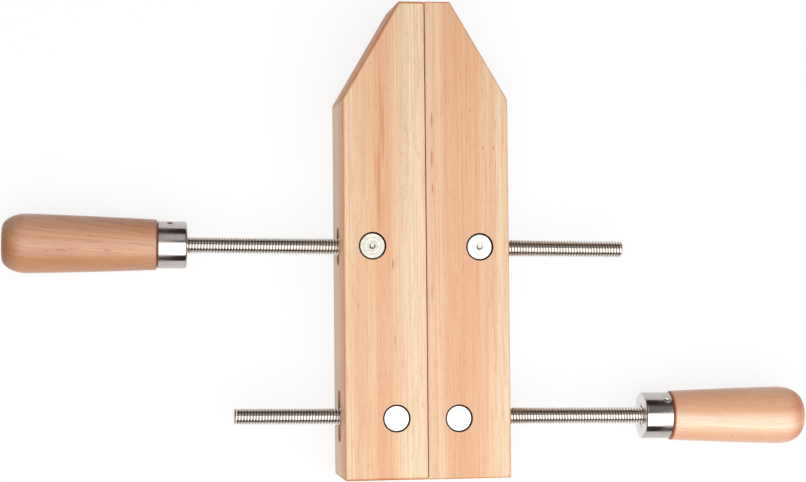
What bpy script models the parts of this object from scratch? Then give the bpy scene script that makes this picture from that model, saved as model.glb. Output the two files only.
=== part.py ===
"""Wooden handscrew clamp, lying on its flat side with its jaws closed.

X runs across the jaws, Y from their heels to their noses, and Z up from the table. The
part's origin lies on the table, under the middle of the whole clamp's box. The two spindles
lean slightly from X, alike, as swivel nuts let them, and the jaws open along them. Each
spindle has a left-hand thread on its left half and a right-hand thread on its right
half, so turning the handles moves both jaws.
"""
import math

import bmesh
import bpy
from mathutils import Matrix

OBJECT_NAME = "wooden_handscrew_clamp"

# Jaws: two square maple bars with tapered noses
JAW_LENGTH = 0.254
JAW_WIDTH = 0.0444
JAW_DEPTH = 0.04445
NOSE_WIDTH = 0.0136
NOSE_TAPER_LENGTH = 0.0522
JAW_EDGE_ROUNDING = 0.0012
SEAM_GAP = 0.0005

# Opening: how far each jaw travels from the seam, which is half of the clamp's opening
JAW_TRAVEL = 0.0762

# Places of the nuts: height above the heel of the spindle's line at the seam, and distance
# behind the clamping face along that line
MIDDLE_NUT_HEIGHT = 0.1235
MIDDLE_NUT_INSET = 0.0286
END_NUT_HEIGHT = 0.0323
END_NUT_INSET = 0.0165

# Lean of both spindles from square across the jaws: their right ends lie nearer the heels
SPINDLE_LEAN = math.radians(0.9)

# Spindles: threaded steel rods, with a plain band where the two threads change over
SPINDLE_RADIUS = 0.00476
THREAD_PITCH = 0.0015875
THREAD_DEPTH = 0.00097
BAND_LENGTH = 0.006
TIP_CHAMFER = 0.0008
MIDDLE_HANDLE_SPARE = 0.0049
MIDDLE_TIP_SPARE = 0.0003
END_HANDLE_SPARE = 0.0015
END_TIP_SPARE = 0.0013
TAIL_LENGTH = 0.03
# Radius of the plain tail, as a share of the radius at the thread's root
TAIL_RADIUS_SHARE = 0.82

# Nuts: steel cross dowels that swivel in the jaws
NUT_WALL = 0.002
NUT_RECESS = 0.0006
NUT_CHAMFER = 0.0004
NUT_CENTRE_RADIUS = 0.0013
NUT_CENTRE_DEPTH = 0.0009

# Ferrules: drawn steel cups over the handles' ends
FERRULE_RADIUS = 0.01258
FERRULE_LENGTH = 0.0154
FERRULE_WALL = 0.0009
FERRULE_PLATE = 0.0012
FERRULE_ROUNDING = 0.0012

# Handles: turned maple grips
MIDDLE_GRIP_LENGTH = 0.0811
END_GRIP_LENGTH = 0.0758
GRIP_STEP = 0.0009
GRIP_SWELL = 0.0022
GRIP_NECK_ROUNDING = 0.0012
# The grip's side swells along this much of a sine's quarter wave
SWELL_ARC = math.radians(60)
GRIP_CROWN_LENGTH = 0.0131
GRIP_CROWN_DROP = 0.0078

# Clearances
FIT_GAP = 0.0003
NUT_BORE_GAP = 0.0004
THREAD_GAP = 0.0003
SLOT_GAP = 0.0006
SLOT_SWING = math.radians(17)
CUT_OVERRUN = 0.002

# Fineness of the round shapes
THREAD_SEGMENTS = 8
NUT_THREAD_SEGMENTS = 12
NUT_SEGMENTS = 24
SLOT_SEGMENTS = 12
ROUND_SEGMENTS = 28
EASING_STEPS = 2
ARC_STEPS = 3
CROWN_STEPS = 5
SWELL_STEPS = 4
MERGE_DISTANCE = 0.00001
SMOOTH_ANGLE = math.radians(35)
EDGE_ANGLE = math.radians(40)
QUARTER_TURN = math.radians(90)

# Sizes that follow from those above
ROOT_RADIUS = SPINDLE_RADIUS - THREAD_DEPTH
BAND_RADIUS = (SPINDLE_RADIUS + ROOT_RADIUS) / 2
TAIL_RADIUS = ROOT_RADIUS * TAIL_RADIUS_SHARE
NUT_RADIUS = SPINDLE_RADIUS + NUT_WALL
NUT_LENGTH = JAW_DEPTH - 2 * NUT_RECESS
CLAMPING_FACE = SEAM_GAP / 2
OUTER_FACE = CLAMPING_FACE + JAW_WIDTH
MID_DEPTH = JAW_DEPTH / 2
TENON_RADIUS = FERRULE_RADIUS - FERRULE_WALL - FIT_GAP
NECK_RADIUS = FERRULE_RADIUS + GRIP_STEP
BELLY_RADIUS = NECK_RADIUS + GRIP_SWELL
MIDDLE_NUT_REACH = CLAMPING_FACE + MIDDLE_NUT_INSET
END_NUT_REACH = CLAMPING_FACE + END_NUT_INSET
MIDDLE_FACE_REACH = OUTER_FACE + JAW_TRAVEL + MIDDLE_HANDLE_SPARE
END_FACE_REACH = OUTER_FACE + JAW_TRAVEL + END_HANDLE_SPARE
MIDDLE_TIP_REACH = MIDDLE_NUT_REACH + NUT_RADIUS + JAW_TRAVEL + MIDDLE_TIP_SPARE
END_TIP_REACH = END_NUT_REACH + NUT_RADIUS + JAW_TRAVEL + END_TIP_SPARE
MIDDLE_HANDLE_REACH = MIDDLE_FACE_REACH + FERRULE_LENGTH + MIDDLE_GRIP_LENGTH
END_HANDLE_REACH = END_FACE_REACH + FERRULE_LENGTH + END_GRIP_LENGTH
NUT_PLACES = (
    ("middle", MIDDLE_NUT_HEIGHT, MIDDLE_NUT_REACH),
    ("end", END_NUT_HEIGHT, END_NUT_REACH),
)

LEFT, RIGHT = -1, 1
LEFT_HAND, RIGHT_HAND = -1, 1

MAPLE = (0.78, 0.55, 0.36, 1.0)
HANDLE_MAPLE = (0.76, 0.47, 0.29, 1.0)
PLATED_STEEL = (0.72, 0.70, 0.67, 1.0)
NUT_STEEL = (0.83, 0.82, 0.78, 1.0)


def clear_scene():
    for old in list(bpy.data.objects):
        bpy.data.objects.remove(old, do_unlink=True)


def new_collection(name):
    made = bpy.data.collections.new(name)
    bpy.context.scene.collection.children.link(made)
    return made


def surface(name, colour, roughness, metallic):
    made = bpy.data.materials.new(name)
    made.use_nodes = True
    shader = made.node_tree.nodes["Principled BSDF"]
    shader.inputs["Base Color"].default_value = colour
    shader.inputs["Roughness"].default_value = roughness
    shader.inputs["Metallic"].default_value = metallic
    return made


def empty(name, parent=None, location=(0, 0, 0), rotation=(0, 0, 0)):
    made = bpy.data.objects.new(name, None)
    parts.objects.link(made)
    made.parent = parent
    made.location = location
    made.rotation_euler = rotation
    return made


def piece(name, mesh, look, parent, location=(0, 0, 0)):
    """A named part of the clamp, in its own material."""
    made = bpy.data.objects.new(name, mesh)
    parts.objects.link(made)
    made.parent = parent
    made.location = location
    made.data.materials.append(look)
    return made


def guide(name, mesh, parent, location=(0, 0, 0), rotation=(0, 0, 0)):
    """A body that only cuts or joins, kept out of the clamp itself."""
    made = bpy.data.objects.new(name, mesh)
    cutters.objects.link(made)
    made.parent = parent
    made.location = location
    made.rotation_euler = rotation
    made.hide_render = True
    made.display_type = "WIRE"
    return made


def combine(target, tool, operation):
    step = target.modifiers.new(f"{operation.lower()} {tool.name}", "BOOLEAN")
    step.operation = operation
    step.object = tool
    step.solver = "EXACT"


def bake_modifiers(holder):
    """The holder's evaluated shape as a welded mesh; the holder itself is removed."""
    bpy.context.view_layer.update()
    seen = holder.evaluated_get(bpy.context.evaluated_depsgraph_get())
    mesh = bpy.data.meshes.new_from_object(seen)
    mesh.name = holder.name
    bpy.data.objects.remove(holder, do_unlink=True)
    shape = bmesh.new()
    shape.from_mesh(mesh)
    bmesh.ops.remove_doubles(shape, verts=shape.verts, dist=MERGE_DISTANCE)
    bmesh.ops.recalc_face_normals(shape, faces=shape.faces)
    shape.to_mesh(mesh)
    shape.free()
    return mesh


def extruded_outline(name, points, thickness):
    """A flat outline in X and Y, as thick along Z as asked, centred on Z zero."""
    curve = bpy.data.curves.new(name, "CURVE")
    curve.dimensions = "2D"
    curve.fill_mode = "BOTH"
    curve.extrude = thickness / 2
    line = curve.splines.new("POLY")
    line.points.add(len(points) - 1)
    for place, (x, y) in zip(line.points, points):
        place.co = (x, y, 0, 1)
    line.use_cyclic_u = True
    holder = bpy.data.objects.new(name, curve)
    cutters.objects.link(holder)
    return bake_modifiers(holder)


def profile_mesh(name, points, closed=False):
    """Edges through (radius, height) points, for a Screw modifier round Z."""
    count = len(points)
    links = [(n, n + 1) for n in range(count - 1)]
    if closed:
        links.append((count - 1, 0))
    mesh = bpy.data.meshes.new(name)
    mesh.from_pydata([(radius, 0, height) for radius, height in points], links, [])
    return mesh


def turned_mesh(name, points, segments, closed=False):
    """A profile turned round Z, with its corners half a step off the X axis."""
    holder = bpy.data.objects.new(name, profile_mesh(name, points, closed))
    cutters.objects.link(holder)
    lathe = holder.modifiers.new("turned", "SCREW")
    lathe.axis = "Z"
    lathe.angle = math.tau
    lathe.steps = segments
    lathe.render_steps = segments
    lathe.use_merge_vertices = True
    lathe.merge_threshold = MERGE_DISTANCE
    mesh = bake_modifiers(holder)
    mesh.transform(Matrix.Rotation(math.pi / segments, 4, "Z"))
    mesh.shade_smooth()
    mesh.set_sharp_from_angle(angle=SMOOTH_ANGLE)
    return mesh


def arc(centre, radius, start, end, steps):
    """Points on a quarter or other arc, both ends included."""
    angles = [start + (end - start) * n / steps for n in range(steps + 1)]
    return [(centre[0] + radius * math.cos(a), centre[1] + radius * math.sin(a)) for a in angles]


def thread_mesh(name, low, high, crest, root, hand, segments, chamfer=0):
    """A threaded bar round Z from low to high, with its low end drawn in by the chamfer.
    Its helix crosses +X at whole pitches from Z zero, so bars made for a screw and for its
    nut are in step."""
    first = math.floor(low / THREAD_PITCH) - 1
    last = math.ceil(high / THREAD_PITCH) + 1
    start = first * THREAD_PITCH
    tooth = [(root, start), (crest, start + THREAD_PITCH / 2), (root, start + THREAD_PITCH)]
    holder = bpy.data.objects.new(name, profile_mesh(name, tooth))
    cutters.objects.link(holder)
    helix = holder.modifiers.new("helix", "SCREW")
    helix.axis = "Z"
    helix.angle = math.tau * hand
    helix.screw_offset = THREAD_PITCH
    helix.iterations = last - first
    helix.steps = segments
    helix.render_steps = segments
    mesh = bake_modifiers(holder)
    shape = bmesh.new()
    shape.from_mesh(mesh)
    for height, outward in ((low, -1), (high, 1)):
        everything = list(shape.verts) + list(shape.edges) + list(shape.faces)
        bmesh.ops.bisect_plane(shape, geom=everything, dist=MERGE_DISTANCE / 10,
                               plane_co=(0, 0, height), plane_no=(0, 0, outward),
                               clear_outer=True)
    rims = [edge for edge in shape.edges if edge.is_boundary]
    bmesh.ops.holes_fill(shape, edges=rims, sides=0)
    for corner in shape.verts:
        radius = math.hypot(corner.co.x, corner.co.y)
        allowed = crest - chamfer + (corner.co.z - low)
        if chamfer and radius > allowed:
            corner.co.x *= allowed / radius
            corner.co.y *= allowed / radius
    bmesh.ops.recalc_face_normals(shape, faces=shape.faces)
    shape.to_mesh(mesh)
    shape.free()
    return mesh


def slot_mesh(name, nut_reach, side):
    """An hourglass passage for a spindle: a round bar that is cut at the nut, with its upper
    and lower halves drawn apart towards both faces of the jaw, so the spindle can swing."""
    ends = [side * (CLAMPING_FACE - CUT_OVERRUN), side * (OUTER_FACE + CUT_OVERRUN)]
    waist = (SPINDLE_RADIUS + SLOT_GAP) / math.cos(math.pi / SLOT_SEGMENTS)
    shape = bmesh.new()
    bmesh.ops.create_cone(shape, cap_ends=True, segments=SLOT_SEGMENTS, radius1=waist,
                          radius2=waist, depth=abs(ends[1] - ends[0]))
    half_step = Matrix.Rotation(math.pi / SLOT_SEGMENTS, 4, "Z")
    along_x = Matrix.Rotation(QUARTER_TURN, 4, "Y")
    middle = Matrix.Translation((sum(ends) / 2, 0, 0))
    bmesh.ops.transform(shape, matrix=middle @ along_x @ half_step, verts=shape.verts)
    everything = list(shape.verts) + list(shape.edges) + list(shape.faces)
    bmesh.ops.bisect_plane(shape, geom=everything, dist=MERGE_DISTANCE,
                           plane_co=(side * nut_reach, 0, 0), plane_no=(1, 0, 0))
    for corner in shape.verts:
        away = abs(corner.co.x - side * nut_reach) * math.tan(SLOT_SWING)
        corner.co.y += math.copysign(away, corner.co.y)
    bmesh.ops.recalc_face_normals(shape, faces=shape.faces)
    mesh = bpy.data.meshes.new(name)
    shape.to_mesh(mesh)
    shape.free()
    return mesh


def make_jaw(name, side):
    """A jaw with its edges eased, cross bores for the two nuts and slots for the spindles."""
    outline = [(side * CLAMPING_FACE, 0), (side * OUTER_FACE, 0),
               (side * OUTER_FACE, JAW_LENGTH - NOSE_TAPER_LENGTH),
               (side * (CLAMPING_FACE + NOSE_WIDTH), JAW_LENGTH),
               (side * CLAMPING_FACE, JAW_LENGTH)]
    mesh = extruded_outline(name, outline, JAW_DEPTH)
    jaw = piece(name, mesh, maple, root, location=(0, 0, MID_DEPTH))
    easing = jaw.modifiers.new("eased edges", "BEVEL")
    easing.width = JAW_EDGE_ROUNDING
    easing.segments = EASING_STEPS
    easing.limit_method = "ANGLE"
    easing.angle_limit = EDGE_ANGLE
    bore_half = MID_DEPTH + CUT_OVERRUN
    bore_radius = NUT_RADIUS + NUT_BORE_GAP
    bore = [(0, bore_half), (bore_radius, bore_half), (bore_radius, -bore_half), (0, -bore_half)]
    along, across = math.cos(SPINDLE_LEAN), math.sin(SPINDLE_LEAN)
    for place, height, reach in NUT_PLACES:
        spot = (side * reach * along, height - side * reach * across, MID_DEPTH)
        mesh = turned_mesh(f"{name} {place} nut bore", bore, NUT_SEGMENTS)
        combine(jaw, guide(mesh.name, mesh, root, spot), "DIFFERENCE")
        mesh = slot_mesh(f"{name} {place} spindle slot", reach, side)
        slot = guide(mesh.name, mesh, root, (0, height, MID_DEPTH), (0, 0, -SPINDLE_LEAN))
        combine(jaw, slot, "DIFFERENCE")


def make_nut(name, axis, centre, hand, centre_marks):
    """A cross dowel threaded for its spindle. The axis empty is the spindle's own frame,
    in which the nut's middle lies at the centre value on Z."""
    half = NUT_LENGTH / 2
    face = [(0, half), (NUT_RADIUS - NUT_CHAMFER, half)]
    if centre_marks:
        face = [(0, half - NUT_CENTRE_DEPTH), (NUT_CENTRE_RADIUS, half), face[1]]
    rim = (NUT_RADIUS, half - NUT_CHAMFER)
    upper = face + [rim]
    lower = [(radius, -height) for radius, height in reversed(upper)]
    mesh = turned_mesh(name, upper + lower, NUT_SEGMENTS)
    # The dowel is turned round Z and stands across the spindle, so it is laid along the
    # axis empty's own X, which points up or down from the table
    mesh.transform(Matrix.Rotation(QUARTER_TURN, 4, "Y"))
    nut = piece(name, mesh, nut_steel, axis, location=(0, 0, centre))
    # The nut's thread is cut round its corners, so that the screw clears it at every turn
    swell = 1 / math.cos(math.pi / NUT_THREAD_SEGMENTS)
    reach = NUT_RADIUS + CUT_OVERRUN
    mesh = thread_mesh(f"{name} thread", centre - reach, centre + reach,
                       (SPINDLE_RADIUS + THREAD_GAP) * swell, (ROOT_RADIUS + THREAD_GAP) * swell,
                       hand, NUT_THREAD_SEGMENTS)
    combine(nut, guide(mesh.name, mesh, axis), "DIFFERENCE")


def make_spindle(name, axis, tip_reach, face_reach, handle_hand):
    """A rod with opposite threads on its two halves, a band between them and a plain tail
    that runs into the handle."""
    band_end = BAND_LENGTH / 2
    thread_end = face_reach + FERRULE_PLATE
    mesh = thread_mesh(name, band_end, thread_end, SPINDLE_RADIUS, ROOT_RADIUS,
                       handle_hand, THREAD_SEGMENTS)
    rod = piece(name, mesh, plated_steel, axis)
    mesh = thread_mesh(f"{name} tip thread", -tip_reach, -band_end, SPINDLE_RADIUS, ROOT_RADIUS,
                       -handle_hand, THREAD_SEGMENTS, chamfer=TIP_CHAMFER)
    tip_half = guide(mesh.name, mesh, axis)
    band_seat = band_end + THREAD_PITCH / 2
    tail_end = thread_end + TAIL_LENGTH
    core = [(0, tail_end), (TAIL_RADIUS, tail_end), (TAIL_RADIUS, band_seat),
            (BAND_RADIUS, band_seat), (BAND_RADIUS, -band_seat), (0, -band_seat)]
    mesh = turned_mesh(f"{name} band and tail", core, NUT_SEGMENTS)
    middle = guide(mesh.name, mesh, axis)
    combine(rod, middle, "UNION")
    combine(rod, tip_half, "UNION")


def make_ferrule(name, axis, face_reach):
    """A cup with a rounded rim, pierced for the spindle, its open end towards the grip."""
    hole = SPINDLE_RADIUS + FIT_GAP
    back = face_reach + FERRULE_LENGTH
    corner = (FERRULE_RADIUS - FERRULE_ROUNDING, face_reach + FERRULE_ROUNDING)
    rounded = arc(corner, FERRULE_ROUNDING, 0, -QUARTER_TURN, ARC_STEPS)
    inner = FERRULE_RADIUS - FERRULE_WALL
    plate = face_reach + FERRULE_PLATE
    cup = [(FERRULE_RADIUS, back)] + rounded + [(hole, face_reach), (hole, plate),
                                                (inner, plate), (inner, back)]
    mesh = turned_mesh(name, cup, ROUND_SEGMENTS, closed=True)
    piece(name, mesh, plated_steel, axis)


def make_handle(name, axis, face_reach, end):
    """A turned grip with a tenon in the ferrule and a blind bore for the spindle's tail."""
    bore = TAIL_RADIUS + FIT_GAP
    plate = face_reach + FERRULE_PLATE
    tenon_end = plate + FIT_GAP
    bore_end = plate + TAIL_LENGTH + FIT_GAP
    shoulder = face_reach + FERRULE_LENGTH + FIT_GAP
    crown_start = end - GRIP_CROWN_LENGTH
    neck_start = shoulder + GRIP_NECK_ROUNDING
    crown = []
    for n in range(1, CROWN_STEPS + 1):
        angle = QUARTER_TURN * (1 - n / CROWN_STEPS)
        crown.append((BELLY_RADIUS - GRIP_CROWN_DROP * (1 - math.sin(angle)),
                      crown_start + GRIP_CROWN_LENGTH * math.cos(angle)))
    swell = []
    for n in range(SWELL_STEPS + 1):
        share = n / SWELL_STEPS
        swell.append((NECK_RADIUS + GRIP_SWELL * math.sin(share * SWELL_ARC) / math.sin(SWELL_ARC),
                      neck_start + (crown_start - neck_start) * share))
    rounding = arc((NECK_RADIUS - GRIP_NECK_ROUNDING, neck_start), GRIP_NECK_ROUNDING,
                   0, -QUARTER_TURN, ARC_STEPS)
    profile = [(0, end)] + list(reversed(crown)) + list(reversed(swell)) + rounding[1:]
    profile += [(TENON_RADIUS, shoulder), (TENON_RADIUS, tenon_end), (bore, tenon_end),
                (bore, bore_end), (0, bore_end)]
    mesh = turned_mesh(name, profile, ROUND_SEGMENTS)
    piece(name, mesh, handle_maple, axis)


def make_spindle_set(place, height, nut_reach, handle_side, reaches, centre_marks):
    """A spindle with its ferrule, handle and two nuts. The set's empty lies on the spindle's
    axis at the seam, with its Z towards the handle. The reaches are those of the spindle's
    tip, the ferrule's face and the handle's end."""
    tip_reach, face_reach, handle_reach = reaches
    axis = empty(f"{place} spindle axis", root, (0, height, MID_DEPTH),
                 (0, handle_side * QUARTER_TURN, -SPINDLE_LEAN))
    hands = {LEFT: LEFT_HAND, RIGHT: RIGHT_HAND}
    make_spindle(f"{place}_spindle", axis, tip_reach, face_reach, hands[handle_side])
    make_ferrule(f"{place}_ferrule", axis, face_reach)
    make_handle(f"{place}_handle", axis, face_reach, handle_reach)
    for word, side in (("left", LEFT), ("right", RIGHT)):
        make_nut(f"{place}_nut_{word}", axis, nut_reach * side * handle_side, hands[side],
                 centre_marks)


clear_scene()
parts = new_collection(OBJECT_NAME)
cutters = new_collection("cutters")
maple = surface("maple jaw", MAPLE, 0.5, 0.0)
handle_maple = surface("maple handle", HANDLE_MAPLE, 0.42, 0.0)
plated_steel = surface("plated steel", PLATED_STEEL, 0.25, 1.0)
nut_steel = surface("turned steel", NUT_STEEL, 0.3, 1.0)

# The clamp is centred on its whole box, from one handle's end to the other's
centring = (MIDDLE_HANDLE_REACH - END_HANDLE_REACH) / 2 * math.cos(SPINDLE_LEAN)
root = empty("clamp", location=(centring, -JAW_LENGTH / 2, 0))
make_jaw("left_jaw", LEFT)
make_jaw("right_jaw", RIGHT)
make_spindle_set("middle", MIDDLE_NUT_HEIGHT, MIDDLE_NUT_REACH, LEFT,
                 (MIDDLE_TIP_REACH, MIDDLE_FACE_REACH, MIDDLE_HANDLE_REACH), centre_marks=True)
make_spindle_set("end", END_NUT_HEIGHT, END_NUT_REACH, RIGHT,
                 (END_TIP_REACH, END_FACE_REACH, END_HANDLE_REACH), centre_marks=False)
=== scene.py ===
import math

import bpy
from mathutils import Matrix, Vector


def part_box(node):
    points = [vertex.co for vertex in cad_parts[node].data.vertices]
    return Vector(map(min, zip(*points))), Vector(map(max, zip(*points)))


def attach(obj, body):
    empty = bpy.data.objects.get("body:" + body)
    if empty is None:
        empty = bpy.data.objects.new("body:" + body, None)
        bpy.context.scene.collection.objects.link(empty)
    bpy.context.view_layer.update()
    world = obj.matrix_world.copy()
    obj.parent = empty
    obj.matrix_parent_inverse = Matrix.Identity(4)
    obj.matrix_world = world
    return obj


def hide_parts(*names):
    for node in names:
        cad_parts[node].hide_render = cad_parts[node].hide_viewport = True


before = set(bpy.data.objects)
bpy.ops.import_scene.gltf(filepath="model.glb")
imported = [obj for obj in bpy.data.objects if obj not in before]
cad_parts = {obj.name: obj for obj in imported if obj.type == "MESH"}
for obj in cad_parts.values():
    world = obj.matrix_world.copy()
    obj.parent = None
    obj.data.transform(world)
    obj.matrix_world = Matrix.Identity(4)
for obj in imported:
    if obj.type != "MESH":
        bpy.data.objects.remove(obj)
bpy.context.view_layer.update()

# Wooden handscrew clamp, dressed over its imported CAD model. All lengths are in metres.
# X runs square across the jaws, Y from their heels to their noses, and Z up.


# Camera
# The clamp lies on a table and is seen from almost straight above, through a longish lens
# that stands left of the jaws and leans a little to the right.
CAMERA_PLACE = (-0.163548, -0.029667, 1.053009)
CAMERA_TURN = (0.029906, -0.152522, -0.009612)
# These two are in millimetres, as cameras are sold
SENSOR_WIDTH = 36
LENS_LENGTH = 86.049


def fresh(add, **settings):
    """A new object, the only one selected, from one of Blender's operators that add one."""
    bpy.ops.object.select_all(action="DESELECT")
    add(**settings)
    return bpy.context.object


camera = fresh(bpy.ops.object.camera_add, location=CAMERA_PLACE, rotation=CAMERA_TURN)
camera.name = "camera"
camera.data.sensor_width = SENSOR_WIDTH
camera.data.lens = LENS_LENGTH
bpy.context.scene.camera = camera
bpy.context.scene.view_settings.view_transform = "Standard"


# Studio
# A white table under one large softbox, which hangs over the heels' side, and a weaker strip
# beyond the noses. The room above the table's far edge is dim, and this is what draws the dark
# bands along the polished steel.
FLOOR_SIZE = 40
FLOOR_DROP = 0.0002
FLOOR_PAINT = (0.95, 0.95, 0.95, 1)
FLOOR_GLOW = 0.84
# Each light: its name, its place, how long it is along X and along Y, and its watts
LIGHTS = (("softbox", (0.4, -1.15, 2.0), 3.6, 2.9, 83),
          ("strip", (-0.7, 1.68, 2.0), 2.2, 1.8, 5.5))
WHITE = (1, 1, 1, 1)
ROOM_BAND = (0.05, 0.036, 0.032, 1)
ROOM_TOP = (0.25, 0.245, 0.24, 1)
# Where the room's zones of light begin and end, from 0 level with the table to 1 overhead
HORIZON_END = 0.04
BAND_START = 0.08
BAND_END = 0.50
TOP_START = 0.72


def add_node(tree, kind, inputs=None, **settings):
    """A shader node with its settings, and with a link or a plain value on each named input."""
    made = tree.nodes.new(kind)
    for word, value in settings.items():
        setattr(made, word, value)
    for socket, value in (inputs or {}).items():
        if isinstance(value, bpy.types.NodeSocket):
            tree.links.new(value, made.inputs[socket])
        else:
            made.inputs[socket].default_value = value
    return made


def maths(tree, operation, *values):
    """The result of one sum on numbers or sockets."""
    return add_node(tree, "ShaderNodeMath", dict(enumerate(values)), operation=operation).outputs[0]


def white_to_eye(tree):
    """1 for rays from the eye, and for those that it sees in polished metal or through glass."""
    ray = add_node(tree, "ShaderNodeLightPath")
    seen = maths(tree, "MAXIMUM", ray.outputs["Is Camera Ray"], ray.outputs["Is Glossy Ray"])
    return maths(tree, "MAXIMUM", seen, ray.outputs["Is Transmission Ray"])


floor = fresh(bpy.ops.mesh.primitive_plane_add, size=FLOOR_SIZE, location=(0, 0, -FLOOR_DROP))
floor.name = "table_top"
table_white = bpy.data.materials.new("white table")
table_white.use_nodes = True
tree = table_white.node_tree
tree.nodes.clear()
paint = add_node(tree, "ShaderNodeBsdfDiffuse", {"Color": FLOOR_PAINT})
glow = add_node(tree, "ShaderNodeEmission", {"Color": WHITE, "Strength": 1})
share = maths(tree, "MULTIPLY", white_to_eye(tree), FLOOR_GLOW)
whole = add_node(tree, "ShaderNodeMixShader", {0: share, 1: paint.outputs[0], 2: glow.outputs[0]})
add_node(tree, "ShaderNodeOutputMaterial", {"Surface": whole.outputs[0]})
floor.data.materials.append(table_white)

for name, spot, width, depth, watts in LIGHTS:
    lamp = fresh(bpy.ops.object.light_add, type="AREA", location=spot)
    lamp.name = name
    lamp.data.shape = "RECTANGLE"
    lamp.data.size = width
    lamp.data.size_y = depth
    lamp.data.energy = watts
    lamp.visible_camera = False

world = bpy.data.worlds.new("studio room")
bpy.context.scene.world = world
world.use_nodes = True
tree = world.node_tree
tree.nodes.clear()
towards = add_node(tree, "ShaderNodeTexCoord").outputs["Generated"]
upward = add_node(tree, "ShaderNodeSeparateXYZ", {0: towards}).outputs["Z"]
room = add_node(tree, "ShaderNodeValToRGB", {0: upward})
stops = room.color_ramp.elements
stops[0].position, stops[0].color = HORIZON_END, WHITE
stops[1].position, stops[1].color = BAND_START, ROOM_BAND
for height, colour in ((BAND_END, ROOM_BAND), (TOP_START, ROOM_TOP)):
    stops.new(height).color = colour
sky = add_node(tree, "ShaderNodeBackground", {"Color": room.outputs[0], "Strength": 1})
add_node(tree, "ShaderNodeOutputWorld", {"Surface": sky.outputs[0]})


# Jaws
# Two square bars of hard maple, each with its nose cut to a taper and its edges eased with a
# router. Each is bored through for two steel dowels, and slotted lengthwise where the two
# spindles pass, so that they can swing when the jaws tilt.
LEFT, RIGHT = -1, 1
NOSE_WIDTH = 0.0136
NOSE_TAPER = 0.0522
EDGE_EASING = 0.0013
EASING_STEPS = 4
# The right jaw's edges are eased less than the left one's, and take less painted shade
EASING_SHARES = {LEFT: 1, RIGHT: 0.6}
SEAM_EASING = 0.0003
BORE_RADIUS = 0.0072
BORE_EASING = 0.0002
BORE_STEPS = 96
SLOT_RADIUS = 0.0055
SLOT_SWING = math.radians(17)
SLOT_STEPS = 48
CUT_OVERRUN = 0.002
TOUCH = 0.00001
QUARTER_TURN = math.radians(90)
SMOOTH_ANGLE = math.radians(35)
# Where the spindles cross the seam, and how they lean from square across the jaws
MIDDLE_LINE, END_LINE = -0.0035, -0.0947
LEAN = math.radians(-0.9)
# A face this near a side belongs to its eased edge, one that looks this straight along the
# side's way is flush with it, and one this near a bore's axis lies in the bore
EASED_REACH = EDGE_EASING * 1.05
FLUSH = 0.999
BORED_REACH = BORE_RADIUS * 1.1
# How much painted shade darkens the wood in a slot, where a bore is 1
SLOT_PAINTED_SHADE = 0.45


def take(piece):
    """Makes this the one object that the next operators act on."""
    bpy.ops.object.select_all(action="DESELECT")
    piece.select_set(True)
    bpy.context.view_layer.objects.active = piece


def settle(piece):
    """Puts the object at the origin, unturned and unscaled, with its place in its mesh."""
    take(piece)
    bpy.ops.object.transform_apply(location=True, rotation=True, scale=True)
    return piece


def with_modifier(piece, kind, **settings):
    """Adds one modifier and applies it."""
    take(piece)
    step = piece.modifiers.new(kind.lower(), kind)
    for word, value in settings.items():
        setattr(step, word, value)
    bpy.ops.object.modifier_apply(modifier=step.name)


def joined(piece, tool, operation="DIFFERENCE"):
    """Cuts a tool out of a piece, or adds it on, or keeps what both fill. The tool goes."""
    with_modifier(piece, "BOOLEAN", operation=operation, object=tool, solver="EXACT")
    bpy.data.objects.remove(tool, do_unlink=True)


def select_where(piece, kind, test):
    """In edit mode, selects the corners that pass the test, or the faces whose middles do."""
    bpy.ops.object.mode_set(mode="EDIT")
    bpy.ops.mesh.select_mode(type=kind)
    bpy.ops.mesh.select_all(action="DESELECT")
    bpy.ops.object.mode_set(mode="OBJECT")
    if kind == "VERT":
        for corner in piece.data.vertices:
            corner.select = test(corner.co)
    else:
        for face in piece.data.polygons:
            face.select = test(face.center)
    bpy.ops.object.mode_set(mode="EDIT")


def inner_outer(low, high, side):
    """Of a box's two ends in X, the one towards the clamp's middle and the one away from it."""
    return (high.x, low.x) if side == LEFT else (low.x, high.x)


def spindle_slot(nut, inner, outer, line):
    """A round bar that is cut at the nut and drawn apart towards both faces of the jaw. It is
    made along X from the seam, and then laid along its leaning spindle."""
    length = abs(outer - inner) + 2 * CUT_OVERRUN
    middle = (inner + outer) / 2
    bar = settle(fresh(bpy.ops.mesh.primitive_cylinder_add, vertices=SLOT_STEPS,
                       radius=SLOT_RADIUS, depth=length, location=(middle, 0, 0),
                       rotation=(0, QUARTER_TURN, 0)))
    bpy.ops.object.mode_set(mode="EDIT")
    bpy.ops.mesh.select_all(action="SELECT")
    bpy.ops.mesh.bisect(plane_co=(nut, 0, 0), plane_no=(1, 0, 0))
    bpy.ops.object.mode_set(mode="OBJECT")
    for end in (middle - length / 2, middle + length / 2):
        spread = abs(end - nut) * math.tan(SLOT_SWING)
        for half in (-1, 1):
            select_where(bar, "VERT", lambda place: abs(place.x - end) < TOUCH
                         and place.y * half > TOUCH)
            bpy.ops.transform.translate(value=(0, half * spread, 0))
            bpy.ops.object.mode_set(mode="OBJECT")
    bar.rotation_euler = (0, 0, LEAN)
    bar.location = (SEAM_X, line, MID_HEIGHT)
    return settle(bar)


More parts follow.
